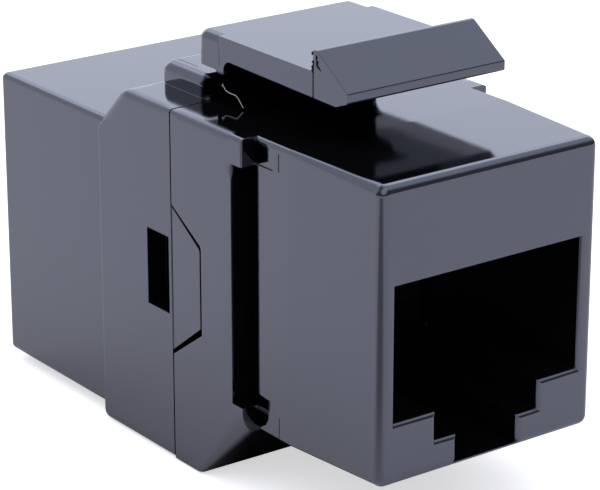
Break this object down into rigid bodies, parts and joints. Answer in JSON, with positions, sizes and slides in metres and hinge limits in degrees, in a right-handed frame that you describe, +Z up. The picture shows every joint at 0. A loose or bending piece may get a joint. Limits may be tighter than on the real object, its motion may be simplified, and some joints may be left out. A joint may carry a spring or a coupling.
{
  "type": "keystone jack",
  "caption": "Black in-line keystone coupler: a snap-in body with a plug port at each end, panel grooves at its sides and a sprung latch arm on top.",
  "frame": {"origin": "middle of the length and width, at the lowest point of the underside", "axes": "+Z up towards the latch arm, -Y out of the front port that passes the panel, +X to the right seen from the front"},
  "size_m": [0.0164, 0.0348, 0.0248],
  "materials": {
    "housing": "semi-gloss moulded plastic",
    "carrier": "matt moulded plastic",
    "board": "solder resist on glass-fibre board",
    "contact": "gold-plated spring wire"
  },
  "bodies": {
    "housing": {"front_housing": "housing", "rear_housing": "housing", "front_contact_carrier": "carrier", "rear_contact_carrier": "carrier", "circuit_board": "board", "front_contact_1": "contact", "front_contact_2": "contact", "front_contact_3": "contact", "front_contact_4": "contact", "front_contact_5": "contact", "front_contact_6": "contact", "front_contact_7": "contact", "front_contact_8": "contact", "rear_contact_1": "contact", "rear_contact_2": "contact", "rear_contact_3": "contact", "rear_contact_4": "contact", "rear_contact_5": "contact", "rear_contact_6": "contact", "rear_contact_7": "contact", "rear_contact_8": "contact"},
    "latch": {"latch_arm": "housing"}
  },
  "joints": [
    {"name": "latch_flex", "type": "hinge", "parent": "housing", "child": "latch", "pos_m": [0, -0.00108, 0.02135], "axis": [1, 0, 0], "range_deg": [0, 9], "stiffness_Nm_per_rad": 0.3}
  ]
}
